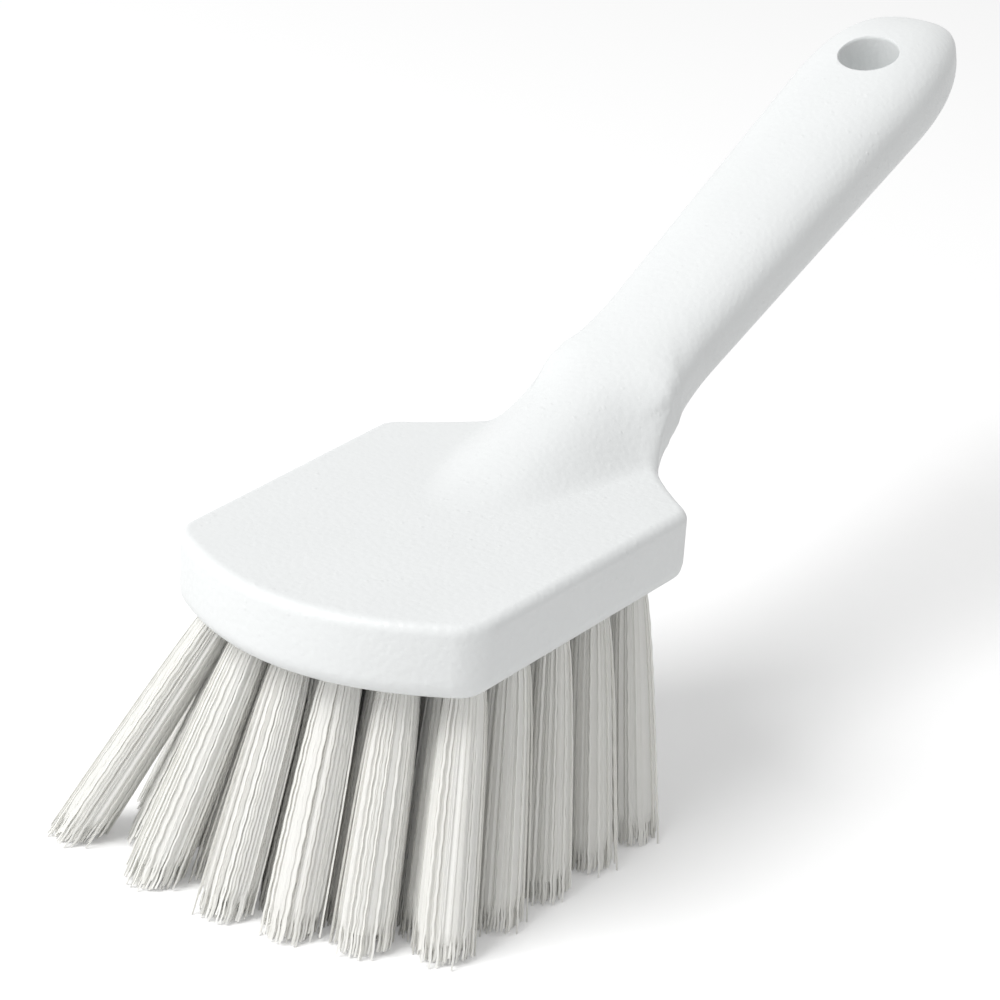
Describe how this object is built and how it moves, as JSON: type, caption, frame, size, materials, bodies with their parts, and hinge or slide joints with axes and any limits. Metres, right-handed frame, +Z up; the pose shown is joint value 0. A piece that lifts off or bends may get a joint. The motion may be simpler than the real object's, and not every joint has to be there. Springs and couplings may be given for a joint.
{
  "type": "utility brush",
  "caption": "Short-handled utility scrub brush with a moulded block, a raised handle with a hanging hole, and splayed crimped bristle tufts.",
  "frame": {"origin": "at the height of the bristle tips, under the middle of the whole brush's bounding box", "axes": "+X across the head, +Y from the head's bowed front to the handle's end, +Z up from the bristle tips to the head's flat top"},
  "size_m": [0.0846, 0.2358, 0.1184],
  "materials": {
    "block_plastic": "white foamed polypropylene, satin, with a fine pebbled skin",
    "filament": "white translucent crimped polyester filament"
  },
  "bodies": {
    "root": {"block": "block_plastic", "tuft_row1_1": "filament", "tuft_row1_2": "filament", "tuft_row1_3": "filament", "tuft_row1_4": "filament", "tuft_row1_5": "filament", "tuft_row1_6": "filament", "tuft_row2_1": "filament", "tuft_row2_2": "filament", "tuft_row2_3": "filament", "tuft_row2_4": "filament", "tuft_row2_5": "filament", "tuft_row3_1": "filament", "tuft_row3_2": "filament", "tuft_row3_3": "filament", "tuft_row3_4": "filament", "tuft_row3_5": "filament", "tuft_row3_6": "filament", "tuft_row4_1": "filament", "tuft_row4_2": "filament", "tuft_row4_3": "filament", "tuft_row4_4": "filament", "tuft_row4_5": "filament", "tuft_row5_1": "filament", "tuft_row5_2": "filament", "tuft_row5_3": "filament", "tuft_row5_4": "filament", "tuft_row5_5": "filament", "tuft_row5_6": "filament", "tuft_row6_1": "filament", "tuft_row6_2": "filament", "tuft_row6_3": "filament", "tuft_row6_4": "filament", "tuft_row6_5": "filament", "tuft_row7_1": "filament", "tuft_row7_2": "filament", "tuft_row7_3": "filament", "tuft_row7_4": "filament", "tuft_row7_5": "filament", "tuft_row7_6": "filament", "tuft_row8_1": "filament", "tuft_row8_2": "filament", "tuft_row8_3": "filament", "tuft_row8_4": "filament", "tuft_row8_5": "filament", "tuft_row9_1": "filament", "tuft_row9_2": "filament", "tuft_row9_3": "filament", "tuft_row9_4": "filament", "tuft_row9_5": "filament", "tuft_row9_6": "filament"}
  },
  "joints": []
}
